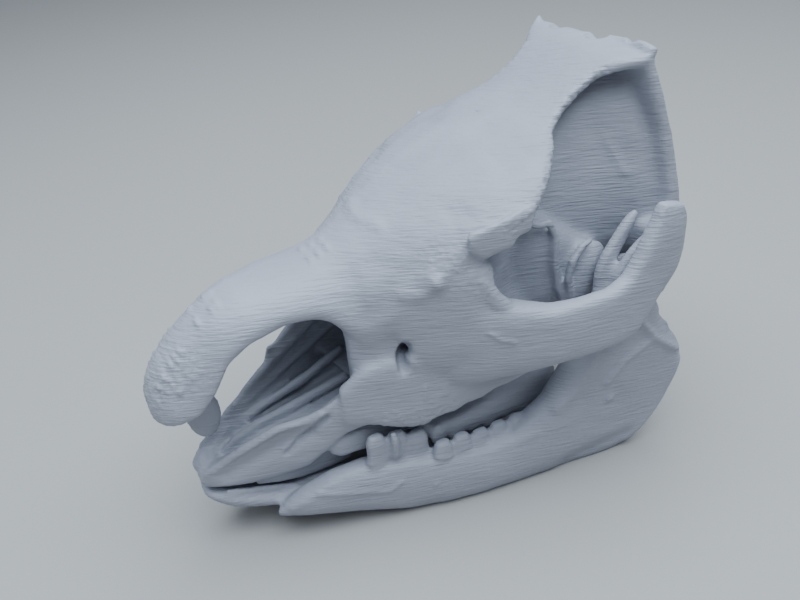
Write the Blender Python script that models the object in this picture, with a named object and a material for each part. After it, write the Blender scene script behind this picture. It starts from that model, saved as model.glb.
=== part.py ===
"""A small one-colour printed model of a rhinoceros skull, standing on its lower jaw.

Metres, +Z up. The snout points along -X and the left side faces -Y. The origin is on
the ground, under the middle of the model. Every size below is in millimetres, and x
is counted there from the tip of the nose backwards.
"""
import bmesh
import bpy
from math import cos, pi, sin
from mathutils import Matrix, Vector

for old in list(bpy.data.objects):
    bpy.data.objects.remove(old)

# Driving sizes, in millimetres
MM = 0.001
SKULL_LENGTH = 168.4
SEAM = 0.3
ARCH_CUT = 35.5
CHIN_CUT = 31.0
CLAY_VOXEL = 1.25
CRANIUM_FACES = 7600
JAW_FACES = 5200
RING_POINTS = 20
ROD_POINTS = 12
PLASTIC = (0.36, 0.39, 0.43, 1.0)
ROUGHNESS = 0.55


def make_material(name, tint):
    """Satin grey plastic, with a slightly different tint for each named part."""
    material = bpy.data.materials.new(name)
    material.use_nodes = True
    shader = material.node_tree.nodes["Principled BSDF"]
    colour = [channel * tint for channel in PLASTIC[:3]] + [1.0]
    shader.inputs["Base Color"].default_value = colour
    shader.inputs["Roughness"].default_value = ROUGHNESS
    shader.inputs["Metallic"].default_value = 0.0
    material.diffuse_color = colour
    return material


def make_object(name, bm):
    """Put a bmesh into a new object, with its faces pointing out."""
    bmesh.ops.recalc_face_normals(bm, faces=bm.faces)
    mesh = bpy.data.meshes.new(name)
    bm.to_mesh(mesh)
    bm.free()
    piece = bpy.data.objects.new(name, mesh)
    bpy.context.scene.collection.objects.link(piece)
    return piece


def place(x, y, z):
    """A point of the model from sizes in millimetres counted from the nose tip."""
    return Vector(((x - SKULL_LENGTH / 2) * MM, y * MM, z * MM))


def bridge_rings(name, rings):
    """A closed body through a list of rings of points, capped at both ends."""
    bm = bmesh.new()
    loops = []
    for ring in rings:
        made = bmesh.ops.create_circle(bm, segments=len(ring), radius=1.0)["verts"]
        for vertex, point in zip(made, ring):
            vertex.co = point
        loops.append(made)
    for first, second in zip(loops, loops[1:]):
        edges = [e for e in bm.edges if all(v in first for v in e.verts)]
        edges += [e for e in bm.edges if all(v in second for v in e.verts)]
        bmesh.ops.bridge_loops(bm, edges=edges)
    for loop in (loops[0], loops[-1]):
        bmesh.ops.contextual_create(bm, geom=loop)
    return make_object(name, bm)


def rounded(angle, power):
    """A point of a rounded square of half size 1: power 2 is a circle."""
    c, s = cos(angle), sin(angle)
    x = abs(c) ** (2 / power) * (1 if c >= 0 else -1)
    y = abs(s) ** (2 / power) * (1 if s >= 0 else -1)
    return x, y


def beam(name, stations, power=2.6):
    """A bent bar. Each station is x, y, lowest z, highest z and half its thickness."""
    rings = []
    for index, (x, y, low, high, half) in enumerate(stations):
        before = stations[max(index - 1, 0)]
        after = stations[min(index + 1, len(stations) - 1)]
        along = Vector((after[0] - before[0], after[1] - before[1], 0.0)).normalized()
        across = Vector((-along.y, along.x, 0.0))
        ring = []
        for step in range(RING_POINTS):
            side, rise = rounded(2 * pi * step / RING_POINTS, power)
            centre = Vector((x, y, (low + high) / 2))
            point = centre + across * (side * half) + Vector((0, 0, rise * (high - low) / 2))
            ring.append(place(*point))
        rings.append(ring)
    return bridge_rings(name, rings)


def column(name, stations, power=2.4):
    """An upright body. Each station is z, middle x, middle y, half length, half width."""
    rings = []
    for z, x, y, half_x, half_y in stations:
        ring = []
        for step in range(RING_POINTS):
            a, b = rounded(2 * pi * step / RING_POINTS, power)
            ring.append(place(x + a * half_x, y + b * half_y, z))
        rings.append(ring)
    return bridge_rings(name, rings)


def hull_section(name, stations, power=2.8):
    """A long body about the mid plane.

    Each station is x, lowest z, highest z, half width low down and half width high up.
    """
    rings = []
    for x, low, high, wide_low, wide_high in stations:
        ring = []
        for step in range(RING_POINTS):
            side, rise = rounded(2 * pi * step / RING_POINTS, power)
            share = (rise + 1) / 2
            half = wide_low + (wide_high - wide_low) * share
            ring.append(place(x, side * half, low + (high - low) * share))
        rings.append(ring)
    return bridge_rings(name, rings)


def roof(name, stations):
    """The top of the skull: an arched plate with an edge that overhangs.

    Each station is x, height on the mid line, height of the edge, half width and the
    thickness of the edge.
    """
    outline = ((0.0, 0.0), (0.3, 0.04), (0.55, 0.17), (0.78, 0.42), (0.93, 0.74), (1.0, 1.0))
    rings = []
    for x, top, edge, half, thick in stations:
        drop = top - edge
        right = [(half * a, top - drop * b) for a, b in outline]
        right += [(half * 0.97, edge - thick), (half * 0.7, edge - thick * 1.2)]
        ring = [(y, z) for y, z in right]
        ring += [(0.0, edge - thick * 1.2)]
        ring += [(-y, z) for y, z in reversed(right[1:])]
        rings.append([place(x, y, z) for y, z in ring])
    return bridge_rings(name, rings)


def ball(name, centre, radii, subdivisions=3):
    """An egg-shaped body."""
    bm = bmesh.new()
    bmesh.ops.create_icosphere(bm, subdivisions=subdivisions, radius=1.0)
    scale = Matrix.Diagonal((radii[0] * MM, radii[1] * MM, radii[2] * MM, 1.0))
    bmesh.ops.transform(bm, matrix=Matrix.Translation(place(*centre)) @ scale, verts=bm.verts)
    return make_object(name, bm)


def rod(name, points, radii):
    """A round bar through points, with a radius at each of them."""
    rings = []
    for index, (point, radius) in enumerate(zip(points, radii)):
        before = Vector(points[max(index - 1, 0)])
        after = Vector(points[min(index + 1, len(points) - 1)])
        turn = (after - before).to_track_quat("Z", "Y")
        ring = []
        for step in range(ROD_POINTS):
            angle = 2 * pi * step / ROD_POINTS
            around = Vector((cos(angle), sin(angle), 0.0)) * radius
            ring.append(place(*(Vector(point) + turn @ around)))
        rings.append(ring)
    return bridge_rings(name, rings)


def block(name, low, high):
    """A box between two corners."""
    bm = bmesh.new()
    bmesh.ops.create_cube(bm, size=1.0)
    a, b = place(*low), place(*high)
    bmesh.ops.scale(bm, vec=b - a, verts=bm.verts)
    bmesh.ops.translate(bm, vec=(a + b) / 2, verts=bm.verts)
    return make_object(name, bm)


def other_side(piece):
    """The same piece on the right side of the model."""
    bm = bmesh.new()
    bm.from_mesh(piece.data)
    bmesh.ops.scale(bm, vec=(1, -1, 1), verts=bm.verts)
    return make_object(piece.name.replace("left", "right"), bm)


def both_sides(pieces):
    return pieces + [other_side(piece) for piece in pieces]


def apply_modifiers(piece):
    graph = bpy.context.evaluated_depsgraph_get()
    mesh = bpy.data.meshes.new_from_object(piece.evaluated_get(graph))
    piece.modifiers.clear()
    piece.data = mesh


def delete(pieces):
    for piece in pieces:
        bpy.data.objects.remove(piece)


def join(name, pieces):
    """All the pieces as the loose bodies of one object."""
    bm = bmesh.new()
    for piece in pieces:
        bm.from_mesh(piece.data)
    delete(pieces)
    mesh = bpy.data.meshes.new(name)
    bm.to_mesh(mesh)
    bm.free()
    joined = bpy.data.objects.new(name, mesh)
    bpy.context.scene.collection.objects.link(joined)
    return joined


def fuse(name, pieces, smoothing):
    """Press the pieces together like clay and smooth the joins."""
    lump = join(name, pieces)
    remesh = lump.modifiers.new("Remesh", "REMESH")
    remesh.mode = "VOXEL"
    remesh.voxel_size = CLAY_VOXEL * MM
    if smoothing:
        soften = lump.modifiers.new("Smooth", "SMOOTH")
        soften.iterations = smoothing
        soften.factor = 0.5
    apply_modifiers(lump)
    return lump


def boolean(piece, cutter, operation, solver):
    cut = piece.modifiers.new("Boolean", "BOOLEAN")
    cut.operation = operation
    cut.solver = solver
    cut.object = cutter
    apply_modifiers(piece)


def carve(piece, cutters):
    tool = fuse("carving", cutters, 0)
    boolean(piece, tool, "DIFFERENCE", "MANIFOLD")
    delete([tool])


def thin_out(piece, faces):
    """Smooth the carved edges and bring the body down to a number of triangles."""
    remesh = piece.modifiers.new("Remesh", "REMESH")
    remesh.mode = "VOXEL"
    remesh.voxel_size = CLAY_VOXEL * 0.8 * MM
    soften = piece.modifiers.new("Smooth", "SMOOTH")
    soften.iterations = 2
    soften.factor = 0.5
    apply_modifiers(piece)
    triangles = sum(len(face.vertices) - 2 for face in piece.data.polygons)
    decimate = piece.modifiers.new("Decimate", "DECIMATE")
    decimate.ratio = faces / triangles
    decimate.use_collapse_triangulate = True
    apply_modifiers(piece)


def saw(piece, line, low_y, high_y):
    """Part a piece with a thin cut along a line of points x, z seen from the side."""
    bm = bmesh.new()
    half = SEAM / 2
    across = []
    for index, point in enumerate(line):
        before = Vector(line[max(index - 1, 0)])
        after = Vector(line[min(index + 1, len(line) - 1)])
        along = (after - before).normalized()
        across.append((Vector(point), Vector((-along.y, along.x)) * half))
    outline = [point + side for point, side in across]
    outline += [point - side for point, side in reversed(across)]
    flat = [bm.verts.new(place(point.x, low_y, point.y)) for point in outline]
    face = bm.faces.new(flat)
    made = bmesh.ops.extrude_face_region(bm, geom=[face])["geom"]
    moved = [item for item in made if isinstance(item, bmesh.types.BMVert)]
    bmesh.ops.translate(bm, vec=(0, (high_y - low_y) * MM, 0), verts=moved)
    bmesh.ops.triangulate(bm, faces=bm.faces)
    blade = make_object("blade", bm)
    boolean(piece, blade, "DIFFERENCE", "EXACT")
    delete([blade])


def slice_flat(piece, low, high):
    """Part a piece with a thin flat box."""
    blade = block("blade", low, high)
    boolean(piece, blade, "DIFFERENCE", "EXACT")
    delete([blade])


def loose_bodies(piece):
    """The closed surfaces of a piece, the largest first, as lists of faces."""
    bm = bmesh.new()
    bm.from_mesh(piece.data)
    unseen = set(bm.faces)
    groups = []
    while unseen:
        stack = [unseen.pop()]
        group = set(stack)
        while stack:
            for edge in stack.pop().edges:
                for face in edge.link_faces:
                    if face in unseen:
                        unseen.remove(face)
                        group.add(face)
                        stack.append(face)
        groups.append(group)
    groups.sort(key=lambda group: -sum(face.calc_area() for face in group))
    return bm, groups


def name_bodies(piece, names):
    """Give each of the largest bodies the name whose marker point is nearest to it."""
    bm, groups = loose_bodies(piece)
    markers = {name: place(*marker) for name, (marker, tint) in names.items()}
    groups = groups[:len(names)]
    for name, (marker, tint) in names.items():
        group = min(groups, key=lambda faces: min(
            (face.calc_center_median() - markers[name]).length for face in faces))
        groups.remove(group)
        body = bmesh.new()
        copies = {}
        for face in group:
            for vertex in face.verts:
                if vertex not in copies:
                    copies[vertex] = body.verts.new(vertex.co)
            body.faces.new([copies[vertex] for vertex in face.verts])
        node = make_object(name, body)
        node.data.materials.append(make_material(name + "_plastic", tint))
        node.data.shade_smooth()
        node.data.set_sharp_from_angle(angle=0.8)
    bm.free()
    delete([piece])


# The top of the skull, from the tip of the nose to the crest over the neck
SKULL_ROOF = (
    (0.6, 60.0, 54.5, 4.5, 1.5), (2.5, 65.0, 54.5, 8.5, 2.0), (6.0, 69.5, 55.0, 11.5, 2.0),
    (12.0, 75.0, 57.0, 13.2, 2.0), (17.0, 78.6, 62.0, 13.8, 2.2), (23.0, 81.7, 71.5, 14.2, 2.4),
    (30.0, 84.0, 76.0, 14.8, 2.6), (40.0, 85.3, 78.5, 15.4, 2.8), (48.0, 85.9, 77.0, 16.5, 4.0),
    (54.0, 87.0, 72.0, 18.2, 5.0), (60.0, 89.0, 70.0, 21.5, 6.0), (66.0, 92.0, 74.0, 25.0, 6.0),
    (74.0, 96.4, 81.0, 29.5, 6.0), (80.0, 99.4, 86.5, 32.3, 5.0), (88.0, 103.2, 92.0, 34.6, 4.0),
    (96.0, 106.4, 96.6, 36.2, 5.0), (102.4, 108.8, 98.8, 36.6, 5.6), (104.0, 109.4, 100.0, 36.4, 3.2),
    (106.0, 110.0, 101.2, 36.2, 2.6),
    (109.5, 111.2, 104.0, 33.8, 3.0), (113.5, 112.7, 105.8, 30.0, 3.0), (117.3, 114.0, 109.2, 26.0, 3.0),
    (120.6, 115.2, 113.0, 20.6, 3.0), (126.2, 117.8, 117.0, 17.8, 3.0), (132.0, 121.2, 120.6, 17.0, 3.0),
    (137.7, 124.6, 124.2, 18.2, 3.0), (141.2, 126.4, 126.0, 22.0, 3.0), (144.5, 127.6, 127.0, 25.2, 3.0),
    (147.4, 128.2, 127.4, 27.0, 3.0), (150.0, 127.2, 126.4, 26.2, 3.0),
)
# The face and the braincase: x, low z, high z, half width low and high
FACE = (
    (54.5, 43.0, 76.0, 16.5, 17.5), (58.0, 38.5, 82.0, 19.0, 19.8), (62.0, 36.8, 86.0, 21.0, 22.5),
    (69.0, 35.5, 90.0, 23.2, 26.3), (77.0, 35.5, 94.5, 25.0, 30.3), (86.0, 36.5, 98.5, 27.2, 34.0),
    (93.0, 40.0, 100.0, 28.5, 34.0), (99.0, 41.5, 102.0, 28.0, 26.0), (106.0, 42.5, 98.0, 27.0, 18.0),
    (114.0, 43.5, 80.0, 26.0, 16.0), (119.5, 46.0, 66.0, 22.0, 15.0),
)
BRAINCASE = (
    (92.0, 62.0, 104.0, 20.0, 24.0), (100.0, 60.0, 107.0, 19.0, 21.0), (108.0, 59.0, 110.0, 18.5, 17.5),
    (118.0, 59.0, 113.0, 19.5, 15.0), (128.0, 59.5, 118.0, 21.5, 12.5), (138.0, 60.0, 123.0, 25.0, 14.0),
    (147.0, 60.0, 126.0, 29.0, 21.5), (154.0, 62.0, 112.0, 29.5, 24.5), (160.0, 64.0, 92.0, 25.0, 24.0),
)
# The plate at the back of the head: z, middle x, middle y, half length, half width
NECK_PLATE = (
    (58.0, 154.0, 0.0, 5.0, 17.0), (66.0, 157.0, 0.0, 5.5, 29.0), (76.0, 157.5, 0.0, 5.0, 31.5),
    (88.0, 157.0, 0.0, 4.0, 30.6), (104.0, 154.5, 0.0, 3.5, 28.6), (116.0, 151.2, 0.0, 3.2, 27.4),
    (123.0, 149.0, 0.0, 2.8, 26.9), (127.0, 147.6, 0.0, 2.2, 25.6),
)
# Bars of the left side: x, y, low z, high z, half thickness
CHEEK_ARCH = (
    (70.0, -17.0, 45.0, 76.0, 5.0), (80.0, -24.5, 46.0, 75.0, 5.6), (90.0, -32.0, 48.5, 75.0, 5.6),
    (98.0, -37.4, 51.0, 73.8, 4.8), (106.0, -41.2, 52.6, 72.0, 4.0), (114.0, -43.4, 53.4, 72.3, 3.4),
    (123.0, -44.4, 53.6, 72.7, 3.2), (128.0, -44.6, 53.8, 75.0, 3.2), (132.0, -44.5, 54.6, 80.5, 3.2),
    (136.0, -44.3, 59.4, 88.4, 3.2), (139.4, -44.0, 64.4, 93.4, 3.2), (143.0, -43.8, 67.6, 92.8, 3.2),
    (146.6, -43.4, 71.0, 91.8, 3.1), (149.2, -42.2, 76.0, 90.8, 3.0), (151.0, -38.6, 71.0, 85.0, 3.4),
    (152.2, -33.0, 66.5, 80.0, 4.4), (153.0, -25.0, 65.5, 78.0, 5.6),
)
FRONT_BAR = (
    (8.0, -2.4, 22.8, 27.4, 1.8), (11.0, -3.6, 22.0, 29.8, 2.4), (15.0, -5.0, 21.4, 32.0, 2.6),
    (22.5, -7.2, 21.0, 35.6, 2.6), (29.0, -9.0, 21.5, 38.8, 2.6), (32.5, -9.8, 22.0, 40.4, 2.6),
    (39.5, -11.8, 23.5, 41.4, 2.8), (45.0, -13.8, 28.5, 43.2, 3.0), (51.0, -15.8, 34.0, 47.6, 3.4),
    (57.0, -18.6, 37.0, 54.0, 4.0), (62.0, -19.8, 38.5, 57.0, 4.2),
)
PALATE = (
    (9.0, 22.6, 25.0, 2.2, 3.2), (14.0, 22.2, 26.6, 3.6, 5.0), (20.0, 22.6, 29.4, 5.4, 6.6),
    (27.0, 26.0, 32.4, 7.4, 8.4), (36.0, 28.4, 33.2, 9.4, 10.6), (48.0, 30.0, 34.0, 11.8, 13.0),
    (60.0, 32.0, 36.0, 15.0, 17.0), (72.0, 34.0, 42.0, 19.0, 20.0),
)
# Bone that fills the corner between the brow and the arch
CHEEK_FILL = (
    (70.0, -20.0, 50.0, 84.0, 6.2), (78.0, -24.3, 50.0, 88.5, 6.9), (86.0, -28.2, 52.0, 91.0, 7.1),
    (90.5, -30.2, 54.0, 90.0, 6.2), (93.5, -31.0, 58.0, 86.0, 4.6),
)
# The thin plate that stands on the right bar inside the nose opening
FAR_WALL = (
    (11.0, 4.6, 27.0, 32.0, 1.2), (18.4, 7.2, 29.0, 37.2, 1.3), (22.0, 7.8, 30.0, 37.6, 1.3),
    (26.4, 8.6, 31.0, 40.2, 1.3), (29.6, 9.4, 32.0, 41.8, 1.3), (32.8, 10.4, 33.0, 44.8, 1.3),
    (37.4, 11.8, 34.0, 48.0, 1.3), (39.2, 12.2, 34.0, 50.8, 1.3), (45.6, 13.4, 36.0, 54.0, 1.4),
    (52.0, 15.0, 40.0, 59.0, 1.6),
)
# Edge of the upper jaw above the teeth
JAW_EDGE = (
    (50.0, -17.8, 38.6, 52.0, 2.4), (57.0, -20.8, 37.6, 58.0, 2.4), (63.5, -23.2, 35.4, 60.0, 2.4),
    (69.0, -24.8, 33.8, 60.0, 2.4), (73.4, -25.8, 34.0, 60.0, 2.3), (76.0, -26.6, 35.8, 60.0, 2.3),
    (82.0, -27.8, 36.2, 60.0, 2.2), (84.6, -28.3, 38.2, 60.0, 2.2), (90.4, -29.3, 38.8, 60.0, 2.2),
    (93.4, -29.8, 40.8, 60.0, 2.2), (100.0, -30.5, 41.8, 60.0, 2.2), (104.0, -30.8, 43.0, 49.6, 2.2),
    (111.0, -30.8, 43.6, 49.4, 2.3), (117.0, -29.0, 44.0, 49.4, 2.2),
)
# Swelling of the inner wall behind the eye socket
TEMPLE = (
    (100.0, -15.0, 57.0, 84.0, 5.0), (107.0, -17.0, 56.0, 88.0, 5.4), (114.0, -18.5, 56.0, 89.0, 5.4),
    (120.0, -19.0, 56.0, 85.0, 5.4), (127.0, -19.5, 57.0, 79.0, 5.0), (135.0, -20.0, 58.0, 72.0, 4.4),
)
WING = ((108.0, -12.0, 46.0, 64.0, 2.6), (118.0, -12.2, 47.5, 64.0, 2.3), (128.0, -12.8, 56.0, 64.0, 2.0))
EAR_PEG = ((74.0, 157.0, -26.0, 4.4, 6.0), (62.0, 155.8, -26.6, 3.2, 4.4), (52.0, 154.0, -27.2, 1.8, 2.4))
BARREL = ((129.0, -24.0, 66.0), (7.6, 5.6, 11.6))
BAR_TIP = ((11.2, 0.8, 27.2), (4.6, 4.6, 4.6))
NOSE_TAB = ((14.2, 0.0, 46.8), (5.2, 1.9, 9.4))
# The raised lip of the crest on the left, and the second prong of the jaw: points and radii
CREST_LIP = ([(149.0, 4.0, 126.6), (150.2, -10.0, 127.4), (149.4, -20.0, 128.2), (148.8, -26.0, 127.8)],
             [1.3, 1.6, 1.6, 1.6])
JAW_PRONG = ([(129.5, -35.2, 60.0), (131.0, -35.8, 68.0), (136.6, -36.4, 74.6), (141.6, -37.0, 79.0)],
             [2.6, 2.2, 2.0, 1.6])
# The wall that holds the upper teeth, and the free slot between it and the cheek
TOOTH_WALL = (
    (50.0, -11.8, 27.0, 38.0, 1.6), (60.0, -12.8, 25.0, 40.0, 2.0), (70.0, -14.4, 24.4, 42.0, 2.2),
    (78.0, -16.6, 24.0, 43.0, 2.2), (90.0, -17.6, 24.0, 44.0, 2.0), (104.0, -17.8, 24.0, 46.0, 2.0),
    (118.0, -17.8, 28.0, 47.0, 2.0),
)
CHEEK_SLOT = (
    (56.0, -17.6, 30.0, 37.0, 1.4), (66.0, -19.0, 30.0, 39.0, 2.2), (74.0, -21.0, 28.0, 40.0, 2.8),
    (82.0, -22.6, 27.0, 41.0, 3.0), (92.0, -23.4, 27.0, 43.0, 3.3), (104.0, -24.0, 27.0, 46.0, 3.8),
    (116.0, -24.0, 28.0, 48.0, 4.0), (126.0, -24.0, 30.0, 49.0, 4.0),
)
JAW_BODY = (
    (27.0, -13.8, 9.6, 12.6, 1.4), (30.0, -14.2, 8.8, 14.6, 2.6), (34.0, -14.8, 8.0, 16.8, 3.8),
    (43.0, -16.6, 6.0, 20.2, 5.0), (54.0, -19.0, 3.2, 22.5, 5.5), (66.0, -22.0, 0.4, 22.0, 5.8),
    (78.0, -24.6, -0.8, 19.5, 6.0), (90.0, -26.8, -0.8, 18.8, 6.2), (100.0, -28.4, -0.8, 21.0, 6.0),
    (106.0, -29.6, -0.8, 25.0, 5.6), (112.0, -30.6, -0.8, 30.0, 5.6), (116.0, -31.0, -0.8, 36.5, 5.7),
    (119.5, -31.6, -0.8, 43.5, 5.6), (123.5, -32.3, -0.8, 50.0, 5.3), (129.0, -33.6, -0.8, 56.0, 4.6),
    (137.0, -34.6, -0.6, 60.5, 4.4), (143.0, -36.2, 2.0, 61.0, 3.5), (147.0, -37.0, 6.4, 58.0, 3.1),
    (149.5, -37.4, 10.0, 52.0, 2.8), (153.5, -37.7, 17.0, 47.0, 2.6), (156.0, -37.9, 22.5, 40.5, 2.2),
    (158.2, -38.0, 29.0, 36.0, 1.4),
)
JAW_HOOK = (
    (50.0, 130.0, -34.6, 8.0, 2.8), (60.0, 130.0, -34.0, 5.0, 2.5), (68.0, 130.4, -33.2, 3.1, 2.2),
    (74.0, 132.4, -32.8, 2.9, 2.0), (79.0, 135.8, -32.4, 2.9, 1.8), (83.0, 139.3, -32.1, 2.0, 1.5),
    (85.6, 141.2, -32.0, 0.9, 0.8),
)
CHIN = (
    (7.6, 18.4, 20.2, 3.0, 3.6), (9.6, 16.2, 20.6, 5.2, 6.5), (14.0, 12.8, 19.6, 7.5, 9.5),
    (20.0, 10.3, 17.3, 8.5, 11.0), (27.0, 8.4, 14.5, 9.5, 12.0), (34.0, 6.8, 13.8, 11.0, 13.0),
    (43.0, 5.5, 15.0, 12.0, 14.0), (52.0, 5.0, 14.0, 12.0, 14.5),
)
CONDYLE = ((147.0, -33.0, 61.8), (4.4, 8.6, 4.6))
# Hollows: x, low z, high z, half width low and high, or a middle and radii
NOSE_ROOM = (
    (16.0, 28.5, 40.0, 3.0, 3.0), (24.0, 31.6, 60.0, 4.6, 8.0), (32.0, 33.4, 74.0, 7.0, 11.0),
    (42.0, 34.0, 77.0, 9.8, 12.5), (52.0, 35.0, 78.5, 12.5, 13.5), (64.0, 38.0, 82.0, 14.0, 14.0),
    (78.0, 47.0, 84.0, 13.0, 12.0), (90.0, 54.0, 78.0, 8.0, 7.0),
)
MOUTH_ROOF = (
    (38.0, 12.0, 23.5, 5.0, 4.0), (52.0, 14.0, 29.5, 10.0, 8.0), (64.0, 16.0, 33.0, 11.4, 9.6),
    (80.0, 16.0, 38.0, 14.2, 12.2), (100.0, 16.0, 41.0, 15.4, 13.6), (128.0, 16.0, 44.0, 16.4, 14.6),
)
THROAT = ((102.0, 46.5, 55.0, 5.0, 5.0), (112.0, 45.0, 57.0, 8.0, 8.0), (128.0, 42.0, 58.0, 9.0, 9.0))
ORBIT = ((104.5, -34.0, 86.0), (10.8, 15.0, 10.8))
CHEEK_HOLE = ((67.6, -25.5, 62.2), (2.6, 5.5, 4.2))
UPPER_TEETH, LOWER_TEETH = 11, 9
GROUND = 0.0


# Rows of teeth: x, distance from the mid plane, height of the biting end
UPPER_ROW = (
    (48.0, 13.9, 25.0), (56.0, 14.4, 24.0), (64.0, 14.8, 23.8), (70.0, 15.6, 23.2), (77.0, 17.8, 21.8),
    (84.0, 19.5, 20.8), (98.0, 20.0, 20.2), (113.0, 20.1, 20.6), (118.0, 20.1, 23.0), (121.5, 20.1, 27.0),
)
LOWER_ROW = (
    (54.5, 21.1, 33.4), (73.9, 23.0, 29.2), (74.1, 26.1, 23.6), (94.0, 26.6, 22.4), (113.0, 27.2, 21.8),
)
UPPER_HIGH = (
    (46.0, 31.0), (56.0, 33.6), (70.0, 32.0), (84.0, 28.6), (98.0, 31.4), (113.0, 33.4), (122.0, 34.0),
)
LOWER_ROOT = 13.0


def at(x, row):
    """The other values of a row at x, in a straight line between its points."""
    for before, after in zip(row, row[1:]):
        if x <= after[0]:
            break
    share = min(max((x - before[0]) / (after[0] - before[0]), 0.0), 1.0)
    return [a + (b - a) * share for a, b in zip(before[1:], after[1:])]


def upper_teeth(first, last, count, half_y):
    """The grinding teeth of the upper left side, in a row on the tooth wall."""
    made = []
    pitch = (last - first) / count
    for index in range(count):
        x = first + pitch * (index + 0.5)
        out, low = at(x, UPPER_ROW)
        high = at(x, UPPER_HIGH)[0]
        half_x = pitch * 0.5 + 0.3
        made.append(column(f"upper_left_{index}", (
            (low, x, -out, half_x * 0.9, half_y * 0.9), (low + 2.0, x, -out, half_x, half_y),
            (high, x, -out, half_x, half_y)), power=5.0))
    return made


def lower_teeth(first, last, count, half_y):
    """The grinding teeth of the lower left side, rooted in the jaw."""
    made = []
    pitch = (last - first) / count
    for index in range(count):
        x = first + pitch * (index + 0.5)
        out, high = at(x, LOWER_ROW)
        half_x = pitch * 0.5 + 0.2
        made.append(column(f"lower_left_{index}", (
            (LOWER_ROOT, x, -out, half_x, half_y), (high - 2.0, x, -out, half_x, half_y),
            (high, x, -out, half_x * 0.85, half_y * 0.85)), power=5.0))
    return made


def build_cranium():
    left = [
        beam("arch_left", CHEEK_ARCH, power=3.8),
        beam("front_bar_left", FRONT_BAR, power=3.6),
        beam("cheek_fill_left", CHEEK_FILL, power=3.0),
        beam("jaw_edge_left", JAW_EDGE, power=3.6),
        beam("temple_left", TEMPLE),
        beam("wing_left", WING),
        column("ear_peg_left", EAR_PEG),
        ball("barrel_left", *BARREL),
    ]
    middle = [
        roof("roof", SKULL_ROOF),
        hull_section("face", FACE, power=4.0),
        hull_section("braincase", BRAINCASE),
        column("neck_plate", NECK_PLATE, power=4.0),
        hull_section("palate", PALATE, power=3.4),
        beam("far_wall", FAR_WALL, power=3.0),
        ball("bar_tip", *BAR_TIP),
        ball("nose_tab", *NOSE_TAB),
        rod("crest_lip", *CREST_LIP),
        ball("condyle_seat_left", (162.0, -9.0, 65.0), (6.0, 6.5, 8.0)),
        ball("condyle_seat_right", (162.0, 9.0, 65.0), (6.0, 6.5, 8.0)),
    ]
    cranium = fuse("cranium", both_sides(left) + middle, 2)
    nose_room = hull_section("nose_room", NOSE_ROOM)
    sockets = [
        ball("orbit_left", *ORBIT),
        ball("cheek_hole_left", *CHEEK_HOLE),
        beam("cheek_slot_left", CHEEK_SLOT),
        ball("seat_left", CONDYLE[0], [radius + SEAM + 0.2 for radius in CONDYLE[1]]),
    ]
    neck_hole = ball("neck_hole", (165.0, 0.0, 69.0), (9.0, 5.5, 5.0))
    neck_hollow = ball("neck_hollow", (166.0, 0.0, 102.0), (13.0, 20.0, 20.0))
    mouth_roof = hull_section("mouth_roof", MOUTH_ROOF)
    throat = hull_section("throat", THROAT)
    carve(cranium, [nose_room, neck_hole, neck_hollow, mouth_roof, throat] + both_sides(sockets))
    rows = [beam("tooth_wall_left", TOOTH_WALL)]
    rows += upper_teeth(45.6, 121.6, UPPER_TEETH, 3.4)
    cranium = fuse("cranium", [cranium] + both_sides(rows), 0)
    thin_out(cranium, CRANIUM_FACES)
    return cranium


def build_jaw():
    left = [
        beam("jaw_left", JAW_BODY),
        column("hook_left", JAW_HOOK),
        rod("prong_left", *JAW_PRONG),
        ball("condyle_left", *CONDYLE),
    ]
    left += lower_teeth(54.5, 113.0, LOWER_TEETH, 2.1)
    jaw = fuse("jaw", both_sides(left) + [hull_section("chin", CHIN)], 2)
    spoon = hull_section("spoon", (
        (11.0, 19.5, 30.0, 3.0, 5.0), (18.0, 15.0, 30.0, 5.0, 8.0), (28.0, 11.5, 30.0, 5.5, 9.0),
        (40.0, 10.5, 30.0, 6.5, 10.0), (60.0, 9.0, 30.0, 8.0, 11.0)))
    carve(jaw, [spoon])
    thin_out(jaw, JAW_FACES)
    ground = block("ground", (-20.0, -80.0, -30.0), (200.0, 80.0, GROUND))
    boolean(jaw, ground, "DIFFERENCE", "EXACT")
    delete([ground])
    return jaw


def part_cranium(cranium):
    """Cut the cranium where its bones are named, and name what falls apart."""
    wide = 70.0
    cheek_seam = ((80.0, 130.0), (84.0, 100.0), (92.0, 84.0), (103.0, 78.0), (105.5, 50.5), (128.0, 50.5))
    saw(cranium, cheek_seam, -wide, wide)
    saw(cranium, ((68.0, 106.0), (61.0, 84.0), (54.0, 66.0)), -wide, wide)
    saw(cranium, ((54.0, 66.0), (46.0, 43.0), (38.0, 30.0), (35.0, 15.0)), -wide, wide)
    half = SEAM / 2
    slice_flat(cranium, (-5.0, -half, 10.0), (24.0, half, 36.0))
    slice_flat(cranium, (23.9, -half, 10.0), (48.0, half, 40.0))
    for side in (-1, 1):
        low_y, high_y = sorted((side * (ARCH_CUT - half), side * (ARCH_CUT + half)))
        slice_flat(cranium, (136.0, low_y, 56.0), (170.0, high_y, 99.0))
    name_bodies(cranium, {
        "braincase": ((140.0, 0.0, 100.0), 0.98), "face": ((80.0, -20.0, 60.0), 1.0),
        "nasal_bones": ((25.0, 0.0, 85.0), 1.04),
        "premaxilla_left": ((20.0, -7.0, 28.0), 0.96), "premaxilla_right": ((20.0, 7.0, 28.0), 0.96),
        "cheek_arch_left": ((120.0, -45.0, 65.0), 1.02), "cheek_arch_right": ((120.0, 45.0, 65.0), 1.02),
    })


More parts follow.
